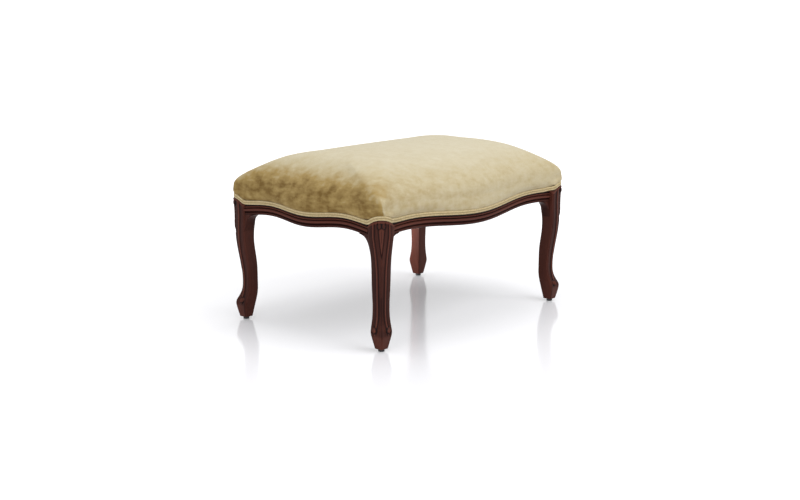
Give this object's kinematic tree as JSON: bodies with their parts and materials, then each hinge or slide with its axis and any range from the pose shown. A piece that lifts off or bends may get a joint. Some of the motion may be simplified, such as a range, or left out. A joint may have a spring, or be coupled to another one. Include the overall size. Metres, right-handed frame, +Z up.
{
  "type": "upholstered bench",
  "caption": "Low upholstered bench: domed velvet seat with double welt on a serpentine moulded wood frame with carved cabriole legs.",
  "frame": {"origin": "on the floor under the middle of the seat", "axes": "+X along the long side, towards the right end; +Y towards the back; +Z up; the pictured long side faces -Y and the pictured end faces -X"},
  "size_m": [0.6879, 0.5034, 0.416],
  "materials": {
    "stained_wood": "dark reddish-brown stain under a satin lacquer",
    "raw_wood": "planed, unfinished",
    "glide": "matt black",
    "screw_steel": "zinc plated",
    "webbing": "woven jute",
    "hessian": "coarse plain weave",
    "dust_cloth": "black non-woven cloth",
    "foam": "open-cell foam",
    "wadding": "fibre wadding",
    "velvet": "cut pile velvet, golden beige, lighter and darker with its nap",
    "welt": "velvet-covered double cord"
  },
  "bodies": {
    "root": {"leg_front_left": "stained_wood", "leg_front_right": "stained_wood", "leg_back_left": "stained_wood", "leg_back_right": "stained_wood", "rail_front": "stained_wood", "rail_back": "stained_wood", "rail_left": "stained_wood", "rail_right": "stained_wood", "long_bracket_front_left": "stained_wood", "long_bracket_front_right": "stained_wood", "long_bracket_back_left": "stained_wood", "long_bracket_back_right": "stained_wood", "short_bracket_front_left": "stained_wood", "short_bracket_front_right": "stained_wood", "short_bracket_back_left": "stained_wood", "short_bracket_back_right": "stained_wood", "corner_block_front_left": "raw_wood", "corner_block_front_right": "raw_wood", "corner_block_back_left": "raw_wood", "corner_block_back_right": "raw_wood", "glide_front_left": "glide", "glide_front_right": "glide", "glide_back_left": "glide", "glide_back_right": "glide", "rail_dowels": "raw_wood", "corner_block_screws": "screw_steel", "webbing_long_1": "webbing", "webbing_long_2": "webbing", "webbing_long_3": "webbing", "webbing_cross_1": "webbing", "webbing_cross_2": "webbing", "webbing_cross_3": "webbing", "webbing_cross_4": "webbing", "webbing_cross_5": "webbing", "hessian_sheet": "hessian", "dust_cover": "dust_cloth", "foam_core": "foam", "wadding": "wadding", "velvet_cover": "velvet", "double_welt": "welt"}
  },
  "joints": []
}
